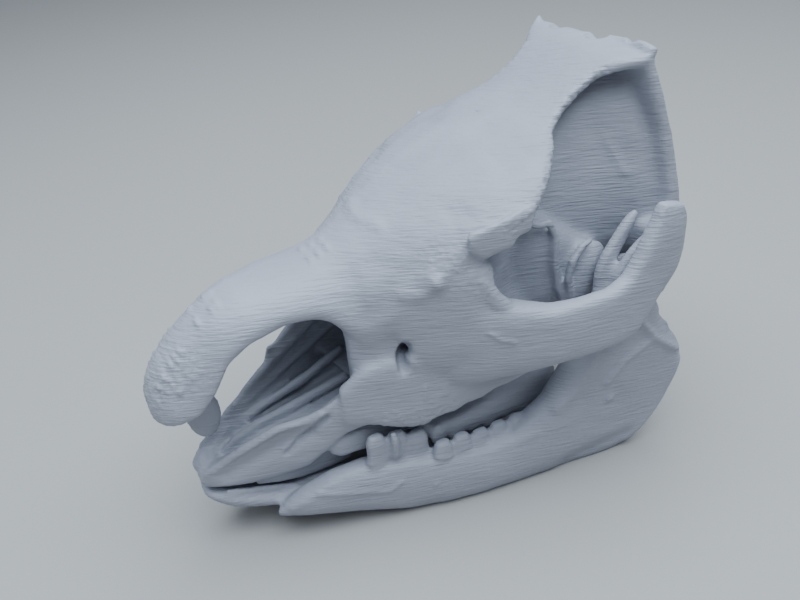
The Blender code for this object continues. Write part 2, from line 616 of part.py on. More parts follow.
def part_jaw(jaw):
    """Cut the lower jaw into its front and its two sides."""
    half = SEAM / 2
    slice_flat(jaw, (CHIN_CUT - half, -70.0, -10.0), (CHIN_CUT + half, 70.0, 60.0))
    slice_flat(jaw, (CHIN_CUT - 1.0, -half, -10.0), (80.0, half, 60.0))
    name_bodies(jaw, {
        "jaw_left": ((90.0, -28.0, 10.0), 0.97), "jaw_right": ((90.0, 28.0, 10.0), 0.97),
        "jaw_front": ((12.0, 0.0, 15.0), 0.93),
    })


part_cranium(build_cranium())
part_jaw(build_jaw())
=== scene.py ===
# %% [markdown]
# # A small printed skull
#
# The object is a rhinoceros skull, printed in one grey plastic and about as long as a
# hand. Everything on it is one surface that flows: bars, plates and hollows with soft
# joins, ragged edges and fine print lines. So it is modelled like clay. Simple bodies
# are pressed together with a voxel remesh, hollows are carved out with Booleans, and
# the small marks are raised or sunk in the surface at the end.

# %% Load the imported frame
import bmesh
import bpy
import numpy as np
from math import cos, pi, radians, sin
from mathutils import Matrix, Vector, noise
from random import Random


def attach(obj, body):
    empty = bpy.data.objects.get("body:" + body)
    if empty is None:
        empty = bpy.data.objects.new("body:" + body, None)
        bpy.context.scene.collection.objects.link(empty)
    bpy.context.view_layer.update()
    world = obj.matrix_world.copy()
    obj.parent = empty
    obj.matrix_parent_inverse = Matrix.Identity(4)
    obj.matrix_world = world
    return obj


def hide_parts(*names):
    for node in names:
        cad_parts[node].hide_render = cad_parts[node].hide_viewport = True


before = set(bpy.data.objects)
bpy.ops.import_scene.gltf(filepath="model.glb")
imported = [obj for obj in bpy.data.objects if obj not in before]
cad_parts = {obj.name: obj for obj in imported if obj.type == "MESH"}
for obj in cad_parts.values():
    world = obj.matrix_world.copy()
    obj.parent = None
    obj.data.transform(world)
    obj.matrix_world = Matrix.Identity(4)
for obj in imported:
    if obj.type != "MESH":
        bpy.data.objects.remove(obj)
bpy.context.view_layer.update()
print("packed nodes:", sorted(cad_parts))

# %% [markdown]
# ## Places on the skull
#
# A skull is easiest to measure from the tip of its nose, in millimetres, with x going
# backwards, y to its right and z up. One function turns such a place into Blender's
# metres, where the origin is on the floor under the middle of the skull.

# %% A ruler that starts at the nose
MM = 0.001
SKULL_LENGTH = 168.4


def place(x, y, z):
    """A point in metres from millimetres counted from the nose tip."""
    return Vector(((x - SKULL_LENGTH / 2) * MM, y * MM, z * MM))


print("nose tip at", place(0, 0, 60), "and crest at", place(147, 0, 128))

# %% [markdown]
# ## Clay tools
#
# A bent bar, a plate or a rounded trunk can all be made in one way: a row of rings
# that follow the form, bridged to each other and capped at the ends. The rings start
# as circles, and their points are pushed to the outline that each place needs.

# %% Bridge a row of rings
RING_POINTS = 24


def new_object(name, bm):
    """Put a bmesh into a new object at the origin, its faces pointing out."""
    bmesh.ops.recalc_face_normals(bm, faces=bm.faces)
    mesh = bpy.data.meshes.new(name)
    bm.to_mesh(mesh)
    bm.free()
    piece = bpy.data.objects.new(name, mesh)
    bpy.context.scene.collection.objects.link(piece)
    return piece


def bridge_rings(name, rings):
    """A closed body through a list of rings of points."""
    bm = bmesh.new()
    loops = []
    for ring in rings:
        made = bmesh.ops.create_circle(bm, segments=len(ring), radius=1.0)["verts"]
        for vertex, point in zip(made, ring):
            vertex.co = point
        loops.append(made)
    for first, second in zip(loops, loops[1:]):
        edges = [e for e in bm.edges if all(v in first for v in e.verts)]
        edges += [e for e in bm.edges if all(v in second for v in e.verts)]
        bmesh.ops.bridge_loops(bm, edges=edges)
    for loop in (loops[0], loops[-1]):
        bmesh.ops.contextual_create(bm, geom=loop)
    return new_object(name, bm)


# %% Outlines for the rings
def rounded(step, power):
    """A point of a rounded square of half size 1; with power 2 it is a circle."""
    c, s = cos(2 * pi * step / RING_POINTS), sin(2 * pi * step / RING_POINTS)
    x = abs(c) ** (2 / power) * (1 if c >= 0 else -1)
    y = abs(s) ** (2 / power) * (1 if s >= 0 else -1)
    return x, y


def beam(name, stations, power=2.6):
    """A bent bar. Each station is x, y, lowest z, highest z and half its thickness."""
    rings = []
    for index, (x, y, low, high, half) in enumerate(stations):
        before = stations[max(index - 1, 0)]
        after = stations[min(index + 1, len(stations) - 1)]
        along = Vector((after[0] - before[0], after[1] - before[1], 0.0)).normalized()
        across = Vector((-along.y, along.x, 0.0))
        ring = []
        for step in range(RING_POINTS):
            side, rise = rounded(step, power)
            point = Vector((x, y, (low + high) / 2)) + across * (side * half)
            ring.append(place(point.x, point.y, point.z + rise * (high - low) / 2))
        rings.append(ring)
    return bridge_rings(name, rings)


def column(name, stations, power=2.4):
    """An upright body. Each station is z, middle x, middle y, half length, half width."""
    rings = []
    for z, x, y, half_x, half_y in stations:
        ring = []
        for step in range(RING_POINTS):
            a, b = rounded(step, power)
            ring.append(place(x + a * half_x, y + b * half_y, z))
        rings.append(ring)
    return bridge_rings(name, rings)


def trunk(name, stations, power=2.8):
    """A long body about the mid plane: x, low z, high z, half width low and high."""
    rings = []
    for x, low, high, wide_low, wide_high in stations:
        ring = []
        for step in range(RING_POINTS):
            side, rise = rounded(step, power)
            share = (rise + 1) / 2
            half = wide_low + (wide_high - wide_low) * share
            ring.append(place(x, side * half, low + (high - low) * share))
        rings.append(ring)
    return bridge_rings(name, rings)


# %% Rods and balls for ridges, rims and hollows
ROD_HALF_POINTS = 6
BALL_SPLITS = 4


def rod(name, points, radii):
    """A round bar through points, with a radius at each of them."""
    rings = []
    for index, (point, radius) in enumerate(zip(points, radii)):
        before = Vector(points[max(index - 1, 0)])
        after = Vector(points[min(index + 1, len(points) - 1)])
        turn = (after - before).to_track_quat("Z", "Y")
        ring = []
        for step in range(2 * ROD_HALF_POINTS):
            angle = pi * step / ROD_HALF_POINTS
            around = Vector((cos(angle), sin(angle), 0.0)) * radius
            ring.append(place(*(Vector(point) + turn @ around)))
        rings.append(ring)
    return bridge_rings(name, rings)


def ball(name, centre, radii, lean=0.0):
    """An egg-shaped body, leaning about the crosswise axis by some degrees."""
    bm = bmesh.new()
    bmesh.ops.create_icosphere(bm, subdivisions=BALL_SPLITS, radius=1.0)
    size = Matrix.Diagonal((radii[0] * MM, radii[1] * MM, radii[2] * MM, 1.0))
    turn = Matrix.Rotation(radians(lean), 4, "Y")
    bmesh.ops.transform(bm, matrix=Matrix.Translation(place(*centre)) @ turn @ size, verts=bm.verts)
    return new_object(name, bm)


# %% [markdown]
# The left side of a skull is the mirror of its right side, so a piece is made once, on
# the left, and copied across.

# %% Mirror, join and press together
SOFTNESS = 0.5


def other_side(piece):
    """The same piece on the right side."""
    bm = bmesh.new()
    bm.from_mesh(piece.data)
    bmesh.ops.scale(bm, vec=(1, -1, 1), verts=bm.verts)
    return new_object(piece.name.replace("left", "right"), bm)


def both_sides(pieces):
    return pieces + [other_side(piece) for piece in pieces]


def apply_modifiers(piece):
    graph = bpy.context.evaluated_depsgraph_get()
    mesh = bpy.data.meshes.new_from_object(piece.evaluated_get(graph))
    piece.modifiers.clear()
    piece.data = mesh


def press(name, pieces, voxel, smoothing):
    """Press pieces together like clay: a voxel remesh joins them, smoothing rounds them."""
    bm = bmesh.new()
    for piece in pieces:
        bm.from_mesh(piece.data)
        bpy.data.objects.remove(piece)
    lump = bpy.data.objects.new(name, bpy.data.meshes.new(name))
    bm.to_mesh(lump.data)
    bm.free()
    bpy.context.scene.collection.objects.link(lump)
    remesh = lump.modifiers.new("Remesh", "REMESH")
    remesh.mode = "VOXEL"
    remesh.voxel_size = voxel * MM
    if smoothing:
        soften = lump.modifiers.new("Smooth", "SMOOTH")
        soften.iterations = smoothing
        soften.factor = SOFTNESS
    apply_modifiers(lump)
    return lump


def carve(piece, cutters, voxel):
    """Take hollows out of a piece."""
    tool = press("carving", cutters, voxel, 0)
    cut = piece.modifiers.new("Boolean", "BOOLEAN")
    cut.operation = "DIFFERENCE"
    cut.solver = "MANIFOLD"
    cut.object = tool
    apply_modifiers(piece)
    bpy.data.objects.remove(tool)


ROUGH_VOXEL = 0.8
FINE_VOXEL = 0.62
CHIP_VOXEL = 0.45

# %% [markdown]
# ## The roof of the skull
#
# From the blunt nose the roof runs back over the nose arch, widens above the eyes,
# narrows to a waist and rises to a square crest over the neck. Its edges overhang. It
# is an arched plate whose cross-section changes along the way.

# %% Arched plate from the nose to the crest
ROOF_ARCH = ((0.0, 0.0), (0.3, 0.04), (0.55, 0.17), (0.78, 0.42), (0.93, 0.74), (1.0, 1.0))
LIP_WIDTH, SOFFIT_WIDTH, SOFFIT_DEPTH = 0.97, 0.7, 1.2
SKULL_ROOF = (
    (0.6, 60.0, 54.5, 4.5, 1.5), (2.5, 65.0, 54.5, 8.5, 2.0), (6.0, 69.5, 55.0, 11.5, 2.0),
    (12.0, 75.0, 57.0, 13.2, 2.0), (17.0, 78.6, 62.0, 13.8, 2.2), (23.0, 81.7, 71.5, 14.2, 2.4),
    (30.0, 84.0, 76.0, 14.8, 2.6), (40.0, 85.3, 78.5, 15.4, 2.6), (48.0, 85.9, 77.6, 16.5, 2.6),
    (52.0, 86.6, 75.6, 17.6, 2.6), (56.0, 87.6, 72.0, 19.2, 4.0), (60.0, 89.0, 70.0, 21.5, 6.0),
    (66.0, 92.0, 74.0, 25.0, 6.0),
    (74.0, 96.4, 81.0, 29.5, 6.0), (80.0, 99.4, 86.5, 32.3, 5.0), (88.0, 103.2, 92.0, 34.6, 4.0),
    (96.0, 106.4, 96.6, 36.2, 5.0), (102.4, 108.8, 98.8, 36.6, 5.6), (104.0, 109.4, 100.0, 36.4, 3.2),
    (106.0, 110.0, 101.2, 36.2, 2.6),
    (109.5, 111.2, 104.0, 33.8, 3.0), (113.5, 112.7, 105.8, 30.0, 3.0), (117.3, 114.0, 109.2, 26.0, 3.0),
    (120.6, 115.2, 113.0, 20.6, 3.0), (126.2, 117.8, 117.0, 17.8, 3.0), (132.0, 121.2, 120.6, 17.0, 3.0),
    (137.7, 124.6, 124.2, 18.2, 3.0), (141.2, 126.4, 126.0, 22.0, 3.0), (144.5, 127.6, 127.0, 25.2, 3.0),
    (147.4, 128.2, 127.4, 27.0, 3.0), (150.0, 127.2, 126.4, 26.2, 3.0),
)


def roof(name, stations):
    """Each station is x, height in the middle, height of the edge, half width, edge depth."""
    rings = []
    for x, top, edge, half, depth in stations:
        right = [(half * a, top - (top - edge) * b) for a, b in ROOF_ARCH]
        right += [(half * LIP_WIDTH, edge - depth), (half * SOFFIT_WIDTH, edge - depth * SOFFIT_DEPTH)]
        ring = right + [(0.0, edge - depth * SOFFIT_DEPTH)]
        ring += [(-y, z) for y, z in reversed(right[1:])]
        rings.append([place(x, y, z) for y, z in ring])
    return bridge_rings(name, rings)


core = [roof("roof", SKULL_ROOF)]
print("the roof is", SKULL_ROOF[-1][0] - SKULL_ROOF[0][0], "mm long")

# %% [markdown]
# ## Face, braincase and neck plate
#
# Under the roof the skull is a row of rounded trunks: the face, which carries the upper
# teeth, the narrower braincase behind the eyes, and the plate where the neck muscles
# held on.

# %% Trunks under the roof
FACE = (
    (55.4, 43.0, 72.0, 16.6, 17.6), (58.4, 38.5, 82.0, 19.0, 19.8), (62.0, 36.8, 86.0, 21.0, 22.5),
    (69.0, 35.5, 90.0, 23.2, 26.3), (77.0, 35.5, 94.5, 25.0, 30.3), (86.0, 36.5, 98.5, 27.2, 34.0),
    (93.0, 40.0, 100.0, 28.5, 34.0), (99.0, 41.5, 102.0, 28.0, 26.0), (106.0, 42.5, 98.0, 27.0, 18.0),
    (114.0, 43.5, 80.0, 26.0, 16.0), (119.5, 46.0, 66.0, 22.0, 15.0),
)
BRAINCASE = (
    (92.0, 62.0, 104.0, 20.0, 24.0), (100.0, 60.0, 107.0, 19.0, 21.0), (108.0, 59.0, 110.0, 18.5, 17.5),
    (118.0, 59.0, 113.0, 19.5, 15.0), (128.0, 59.5, 118.0, 21.5, 12.5), (138.0, 60.0, 123.0, 25.0, 14.0),
    (147.0, 60.0, 126.0, 29.0, 21.5), (154.0, 62.0, 112.0, 29.5, 24.5), (160.0, 64.0, 92.0, 25.0, 24.0),
)
NECK_PLATE = (
    (58.0, 154.0, 0.0, 5.0, 17.0), (66.0, 157.0, 0.0, 5.5, 29.0), (76.0, 157.5, 0.0, 5.0, 31.5),
    (88.0, 157.0, 0.0, 4.0, 30.6), (104.0, 154.5, 0.0, 3.5, 28.6), (116.0, 151.2, 0.0, 3.2, 27.4),
    (123.0, 149.0, 0.0, 2.8, 26.9), (127.0, 147.6, 0.0, 2.2, 25.6),
)
core += [
    trunk("face", FACE, power=4.0),
    trunk("braincase", BRAINCASE),
    column("neck_plate", NECK_PLATE, power=4.0),
    ball("condyle_seat_left", (162.0, -9.0, 66.0), (6.0, 6.5, 8.0)),
    ball("condyle_seat_right", (162.0, 9.0, 66.0), (6.0, 6.5, 8.0)),
]
print(len(core), "bodies on the mid plane")

# %% [markdown]
# ## Cheek arches and the bars of the snout
#
# The cheek arch leaves the face below the eye, bows outwards and ends in a square
# corner beside the braincase. Two bars run forward from the face and almost meet in
# front of the nose opening. Both are bent beams.

# %% Arches and bars of the left side
CHEEK_ARCH = (
    (70.0, -17.0, 45.0, 76.0, 5.0), (80.0, -24.5, 46.0, 75.0, 5.6), (90.0, -32.0, 48.5, 75.0, 5.6),
    (98.0, -37.4, 51.0, 73.8, 4.8), (106.0, -41.2, 52.6, 72.0, 4.0), (114.0, -43.4, 53.4, 72.3, 3.4),
    (123.0, -44.4, 53.6, 72.7, 3.2), (128.0, -44.6, 53.8, 75.0, 3.2), (132.0, -44.5, 54.6, 80.5, 3.2),
    (136.0, -44.3, 59.4, 88.4, 3.2), (139.4, -44.0, 64.4, 93.4, 3.2), (142.6, -43.8, 67.6, 92.8, 3.2),
    (145.2, -43.4, 70.4, 91.8, 3.0), (147.0, -42.4, 74.0, 90.6, 2.9), (148.6, -39.0, 71.0, 85.0, 3.0),
    (149.6, -33.6, 67.0, 80.0, 4.0), (152.0, -25.0, 65.5, 78.0, 5.4),
)
FRONT_BAR = (
    (8.0, -2.4, 22.8, 27.4, 1.8), (11.0, -3.6, 22.0, 29.8, 2.4), (15.0, -5.0, 21.4, 32.0, 2.6),
    (22.5, -7.2, 21.0, 35.6, 2.6), (29.0, -9.0, 21.5, 38.8, 2.6), (32.5, -9.8, 22.0, 40.4, 2.6),
    (39.5, -11.8, 23.5, 41.4, 2.8), (45.0, -13.8, 28.5, 43.2, 3.0), (51.0, -15.8, 34.0, 47.6, 3.4),
    (57.0, -18.6, 37.0, 54.0, 4.0), (62.0, -19.8, 38.5, 57.0, 4.2),
)
CHEEK_FILL = (
    (70.0, -20.0, 50.0, 84.0, 6.2), (78.0, -24.3, 50.0, 88.5, 6.9), (86.0, -28.2, 52.0, 91.0, 7.1),
    (90.5, -30.2, 54.0, 90.0, 6.2), (93.5, -31.0, 58.0, 86.0, 4.6),
)
JAW_EDGE = (
    (50.0, -17.8, 38.6, 52.0, 2.4), (57.0, -20.8, 37.6, 58.0, 2.4), (63.5, -23.2, 35.4, 60.0, 2.4),
    (69.0, -24.8, 33.8, 60.0, 2.4), (73.4, -25.8, 34.0, 60.0, 2.3), (76.0, -26.6, 35.8, 60.0, 2.3),
    (82.0, -27.8, 36.2, 60.0, 2.2), (84.6, -28.3, 38.2, 60.0, 2.2), (90.4, -29.3, 38.8, 60.0, 2.2),
    (93.4, -29.8, 40.8, 60.0, 2.2), (100.0, -30.5, 41.8, 60.0, 2.2), (104.0, -30.8, 43.0, 58.0, 2.2),
    (111.0, -30.8, 43.6, 56.0, 2.3), (117.0, -29.0, 44.0, 53.0, 2.2),
)
arches = [
    beam("arch_left", CHEEK_ARCH, power=3.8),
    beam("cheek_fill_left", CHEEK_FILL, power=3.0),
    beam("front_bar_left", FRONT_BAR, power=3.6),
    beam("jaw_edge_left", JAW_EDGE, power=3.6),
]
PALATE = (
    (9.0, 22.6, 25.0, 2.2, 3.2), (14.0, 22.2, 26.6, 3.6, 5.0), (20.0, 22.6, 29.4, 5.4, 6.6),
    (27.0, 26.0, 32.4, 7.4, 8.4), (36.0, 28.4, 33.2, 9.4, 10.6), (48.0, 30.0, 34.0, 11.8, 13.0),
    (60.0, 32.0, 36.0, 15.0, 17.0), (72.0, 34.0, 42.0, 19.0, 20.0),
)
core += [trunk("palate", PALATE, power=3.4), ball("bar_tip", (11.2, 0.8, 27.0), (4.6, 4.6, 4.6))]
print(len(arches), "bars on each side")

# %% [markdown]
# ## Behind the eye
#
# Through the gap above the arch one looks into a deep pit. Its inner wall bulges, and a
# thin crest runs down it from under the brow.

# %% Bulges of the inner wall
TEMPLE = (
    (100.0, -15.0, 57.0, 84.0, 5.0), (107.0, -17.0, 56.0, 88.0, 5.4), (114.0, -18.5, 56.0, 89.0, 5.4),
    (120.0, -19.0, 56.0, 85.0, 5.4), (127.0, -19.5, 57.0, 79.0, 5.0), (135.0, -20.0, 58.0, 72.0, 4.4),
)
WING = ((106.0, -12.5, 44.0, 64.0, 2.8), (116.0, -13.0, 36.0, 64.0, 2.6), (124.0, -13.4, 34.0, 64.0, 2.4),
        (131.0, -13.6, 46.0, 64.0, 2.0))
EAR_PEG = ((72.0, 153.0, -21.0, 4.4, 5.0), (62.0, 151.5, -21.0, 3.2, 4.0), (55.0, 150.0, -21.0, 1.8, 2.4))
arches += [
    beam("temple_left", TEMPLE),
    beam("wing_left", WING),
    column("ear_peg_left", EAR_PEG),
    ball("barrel_left", (129.0, -24.0, 66.0), (7.6, 5.6, 11.6), lean=18.0),
]
cranium = press("skull_cranium", core + both_sides(arches), ROUGH_VOXEL, 8)
print("pressed together:", len(cranium.data.polygons), "faces")

# %% [markdown]
# ## Hollows
#
# The nose opening, the eye sockets, the holes in the cheeks, the mouth roof, the throat
# and the pits above the bulges behind the eyes are carved out of the pressed body, each
# with a cutter of its own shape.

# %% Carve the hollows
NOSE_ROOM = (
    (16.0, 28.5, 40.0, 3.0, 3.0), (24.0, 31.6, 60.0, 4.6, 8.0), (32.0, 33.4, 74.0, 7.0, 11.0),
    (42.0, 34.0, 79.0, 9.8, 12.5), (52.0, 35.0, 80.5, 12.5, 14.0), (64.0, 38.0, 82.0, 14.0, 14.0),
    (78.0, 47.0, 84.0, 13.0, 12.0), (90.0, 54.0, 78.0, 8.0, 7.0),
)
MOUTH_ROOF = (
    (38.0, 12.0, 23.5, 5.0, 4.0), (52.0, 14.0, 29.5, 10.0, 8.0), (64.0, 16.0, 33.0, 11.4, 9.6),
    (80.0, 16.0, 38.0, 14.2, 12.2), (100.0, 16.0, 41.0, 15.4, 13.6), (128.0, 16.0, 44.0, 16.4, 14.6),
)
THROAT = ((102.0, 46.5, 55.0, 5.0, 5.0), (112.0, 45.0, 57.0, 8.0, 8.0), (128.0, 42.0, 58.0, 9.0, 9.0))
JAW_JOINT = (147.0, -33.0, 61.8)
JOINT_SEAT = (4.9, 9.1, 5.1)
TEMPLE_HOLLOW = [(107.0, -24.0, 92.6), (113.5, -24.0, 91.4), (120.5, -23.8, 88.2), (127.0, -23.6, 83.6),
                 (133.0, -23.0, 77.6), (138.0, -22.0, 72.6)]
TEMPLE_HOLLOW_RADII = [1.6, 2.6, 3.2, 3.2, 2.6, 1.6]
CHEEK_HOLE = [(67.2, -27.5, 61.8), (69.2, -22.0, 60.6), (74.0, -18.0, 59.0)]
sockets = [
    ball("orbit_left", (104.5, -34.0, 86.0), (10.8, 15.0, 10.8)),
    rod("cheek_hole_left", CHEEK_HOLE, [1.9, 1.8, 1.4]),
    ball("hole_slot_left", (68.0, -27.0, 60.2), (1.9, 6.0, 5.8), lean=12.0),
    ball("cheek_dish_left", (65.0, -30.6, 64.6), (4.6, 5.6, 8.4), lean=10.0),
    ball("joint_seat_left", JAW_JOINT, JOINT_SEAT),
    rod("temple_hollow_left", TEMPLE_HOLLOW, TEMPLE_HOLLOW_RADII),
]
hollows = [
    trunk("nose_room", NOSE_ROOM),
    trunk("mouth_roof", MOUTH_ROOF),
    trunk("throat", THROAT),
    ball("neck_hole", (165.0, 0.0, 70.0), (9.0, 5.5, 5.0)),
    ball("neck_hollow", (166.6, 0.0, 103.0), (13.0, 19.0, 18.0)),
]
carve(cranium, hollows + both_sides(sockets), ROUGH_VOXEL)
print("after carving:", len(cranium.data.polygons), "faces")

# %% [markdown]
# ## Crisp parts
#
# What would blur in the first pressing comes now: the inner bars that carry the upper
# teeth, the folds inside the nose, the tab under it, the thin crest behind the eye and
# the small plate under the brow. The slot between cheek and teeth is carved first, and
# then a finer pressing joins the rest.

# %% Upper teeth, nose tab and thin crests
UPPER_TEETH = (
    (45.5, -13.4, 26.0, 30.5, 1.8), (48.5, -14.0, 24.4, 32.4, 2.8), (56.0, -14.4, 24.0, 33.6, 3.2),
    (64.0, -14.8, 23.8, 34.0, 3.3), (70.0, -15.6, 23.2, 32.0, 3.6), (77.0, -18.0, 21.8, 29.0, 3.9),
    (84.0, -19.8, 20.8, 28.4, 3.9), (92.0, -20.1, 20.2, 29.6, 3.7), (98.0, -20.2, 20.0, 31.4, 3.7),
    (106.0, -20.2, 20.0, 31.8, 3.7), (113.0, -20.3, 20.6, 33.4, 3.7), (118.0, -20.3, 23.0, 34.0, 3.4),
    (121.5, -20.3, 27.0, 33.6, 2.2),
)
TOOTH_WALL = (
    (50.0, -11.8, 27.0, 38.0, 1.6), (60.0, -12.8, 25.0, 40.0, 2.0), (70.0, -14.4, 24.0, 42.0, 2.2),
    (78.0, -16.6, 21.6, 43.0, 1.8), (84.0, -17.2, 20.6, 43.0, 1.8), (90.0, -17.4, 16.5, 44.0, 1.8),
    (104.0, -17.8, 15.0, 46.0, 2.0), (118.0, -17.8, 17.0, 47.0, 2.0),
)
CHEEK_SLOT = (
    (56.0, -17.6, 30.0, 37.0, 1.4), (66.0, -19.0, 30.0, 39.0, 2.2), (74.0, -21.0, 28.0, 40.0, 2.8),
    (82.0, -22.6, 27.0, 41.0, 3.0), (92.0, -23.4, 27.0, 43.0, 3.3), (104.0, -24.0, 27.0, 46.0, 3.8),
    (116.0, -24.0, 28.0, 48.0, 4.0), (126.0, -24.0, 30.0, 49.0, 4.0),
)
BROW_PLATE = (
    (85.5, -33.6, 91.5, 97.0, 1.3), (89.4, -34.8, 88.6, 98.0, 1.2), (92.6, -35.4, 89.8, 99.0, 1.1),
    (97.2, -35.8, 90.4, 100.0, 1.1), (98.6, -35.8, 92.8, 100.5, 1.1), (102.6, -35.6, 93.4, 101.0, 1.2),
    (103.8, -35.4, 95.5, 100.5, 1.0),
)
EYE_CREST = [(110.0, -25.0, 88.6), (113.5, -24.8, 86.8), (116.6, -24.8, 87.0), (118.8, -24.8, 82.0),
             (118.4, -25.2, 73.5), (119.6, -25.6, 65.0), (122.2, -26.0, 58.0)]
BARREL_RIM = [(130.0, -27.2, 78.4), (125.6, -28.2, 77.6), (122.4, -28.6, 74.2), (121.0, -28.4, 68.6),
              (122.8, -28.0, 60.4)]
ARCH_CORNER = (
    (137.6, -44.0, 82.0, 91.2, 1.9), (139.4, -44.0, 80.0, 94.0, 2.1), (143.0, -43.8, 78.0, 93.1, 2.2),
    (146.6, -43.4, 79.0, 91.9, 2.2),
)
BAR_RIDGE = [(9.2, -4.8, 28.0), (16.0, -7.0, 32.8), (22.6, -9.2, 36.6), (32.0, -11.8, 41.0),
             (39.4, -13.8, 41.8), (45.0, -15.8, 43.8), (51.0, -17.8, 48.0)]
LIP_NOTCH = (33.2, -12.0, 20.4)
INNER_BAR = (
    (23.0, -5.8, 17.8, 28.0, 1.2), (30.0, -7.4, 17.0, 30.0, 1.6), (37.0, -8.6, 16.2, 31.0, 1.7),
    (45.0, -9.6, 16.8, 33.0, 1.4), (53.0, -11.2, 18.4, 36.0, 1.4),
)
NOSE_FOLDS = (
    [(12.0, 0.5, 26.0), (21.0, 1.0, 31.4), (28.5, 1.0, 34.2), (40.0, 1.4, 35.6), (60.0, 2.4, 39.0)],
    [(17.0, 4.8, 29.0), (26.0, 5.6, 34.0), (34.0, 6.4, 36.4), (48.0, 8.0, 39.5), (62.0, 9.0, 45.0)],
    [(19.0, 6.4, 32.0), (28.0, 8.4, 38.0), (38.0, 10.4, 42.4), (50.0, 12.0, 47.6), (63.0, 12.6, 54.0)],
    [(22.0, 7.8, 36.0), (30.0, 9.8, 41.6), (40.0, 11.8, 47.6), (51.0, 13.2, 54.0), (62.0, 13.4, 62.0)],
    [(40.0, 12.6, 50.0), (47.0, 13.8, 54.6), (54.0, 14.0, 61.0), (62.0, 13.6, 70.0)],
)
FAR_WALL = (
    (11.0, 4.6, 27.0, 32.0, 1.2), (18.0, 7.0, 29.0, 34.4, 1.3), (20.4, 7.6, 30.0, 34.2, 1.3),
    (24.0, 8.2, 30.0, 39.6, 1.3), (26.6, 8.6, 31.0, 38.0, 1.3), (29.6, 9.4, 32.0, 43.6, 1.3),
    (32.8, 10.4, 33.0, 44.2, 1.3), (37.2, 11.8, 34.0, 47.2, 1.3), (38.8, 12.4, 34.0, 52.2, 1.3),
    (43.4, 13.4, 36.0, 52.8, 1.4), (48.0, 14.0, 38.0, 54.0, 1.5), (52.4, 14.8, 40.0, 57.4, 1.6),
    (57.0, 15.2, 44.0, 66.0, 1.8), (62.0, 15.4, 50.0, 74.0, 1.8),
)
ROOTS, FIRST_ROOT, ROOT_PITCH = 9, 66.0, 6.0
ROOT_RADII = (2.7, 1.5, 4.6)
INNER_ROOTS_END = 76.0
EYE_CORNER = [(88.6, -34.0, 83.0), (91.8, -35.6, 76.0), (98.6, -37.8, 69.0)]
CREST_LIP = [(149.0, 4.0, 126.6), (150.4, -10.0, 127.4), (149.6, -20.0, 128.4), (149.0, -26.0, 128.0)]
grooves = [
    beam("cheek_slot_left", CHEEK_SLOT),
    ball("lip_notch_left", LIP_NOTCH, (3.0, 3.4, 2.6)),
]
carve(cranium, both_sides(grooves), ROUGH_VOXEL)
crisp = [
    beam("upper_teeth_left", UPPER_TEETH, power=3.2),
    beam("tooth_wall_left", TOOTH_WALL),
    beam("arch_corner_left", ARCH_CORNER, power=8.0),
    beam("inner_bar_left", INNER_BAR, power=3.2),
    rod("eye_crest_left", EYE_CREST, [1.0, 1.2, 1.3, 1.3, 1.3, 1.2, 1.1]),
]
for index in range(ROOTS):
    x = FIRST_ROOT + index * ROOT_PITCH
    y = -17.6 if x < INNER_ROOTS_END else -22.3
    middle = 24.0 - index % 2 * 1.2
    crisp.append(ball(f"tooth_root_left_{index}", (x, y, middle), ROOT_RADII))
crisp += [
    rod("barrel_rim_left", BARREL_RIM, [1.0, 1.2, 1.3, 1.3, 1.1]),
    rod("orbit_corner_left", EYE_CORNER, [1.8, 2.4, 2.2]),
    rod("bar_ridge_left", BAR_RIDGE, [0.9, 1.0, 1.1, 1.1, 1.1, 1.1, 1.0]),
]
single = [
    ball("nose_tab", (14.2, 0.0, 46.6), (5.2, 1.9, 9.4)),
    rod("nose_tab_root", [(13.6, 0.0, 60.0), (14.0, 0.0, 52.0)], [4.4, 3.0]),
    beam("far_wall", FAR_WALL, power=3.0),
    beam("brow_plate", BROW_PLATE),
    rod("far_spur", [(107.6, 34.8, 102.2), (108.6, 35.0, 104.4)], [1.5, 0.9]),
    rod("crest_lip", CREST_LIP, [1.2, 1.5, 1.5, 1.5]),
    rod("crest_spur", [(147.0, 25.0, 125.6), (148.8, 26.0, 128.2)], [1.6, 1.0]),
]
for index, fold in enumerate(NOSE_FOLDS):
    single.append(rod(f"nose_fold_{index}", fold, [0.9] + [1.7] * (len(fold) - 2) + [1.5]))
cranium = press("skull_cranium", [cranium] + single + both_sides(crisp), FINE_VOXEL, 2)
print("with crisp parts:", len(cranium.data.polygons), "faces")

# %% [markdown]
# ## Ragged edges
#
# The brow and the temple have a broken, bony rim, and the edge of the cheek over the
# teeth is ragged too. Small random bites along those lines give it, from a seeded
# generator, so that each run is the same. A few larger bites notch the crest.

# %% Bite the rims
RIM = (
    (97.0, -36.6, 96.5), (103.2, -36.6, 98.6), (106.5, -36.4, 101.2), (109.5, -34.0, 104.0),
    (113.5, -30.2, 105.8), (117.3, -26.2, 109.2), (120.6, -20.8, 113.0), (126.2, -18.0, 117.2),
    (132.0, -17.2, 120.8), (137.7, -18.4, 124.4),
)
SEED = 7
CHIP_PITCH, CHIP_SIZE = 1.5, (0.5, 1.25)
CHEEK_CHIPS, CHEEK_CHIP_SIZE = 5, (0.6, 1.3)
dice = Random(SEED)
chips = []
for start, end in zip(RIM, RIM[1:]):
    a, b = Vector(start), Vector(end)
    for step in range(max(2, round((b - a).length / CHIP_PITCH))):
        point = a.lerp(b, dice.random())
        radius = dice.uniform(*CHIP_SIZE)
        out = Vector((dice.uniform(-0.2, 0.6), -1.0, dice.uniform(-0.7, 0.5))).normalized()
        chips.append(ball(f"chip_left_{len(chips)}", point + out * radius * 0.75, [radius] * 3))
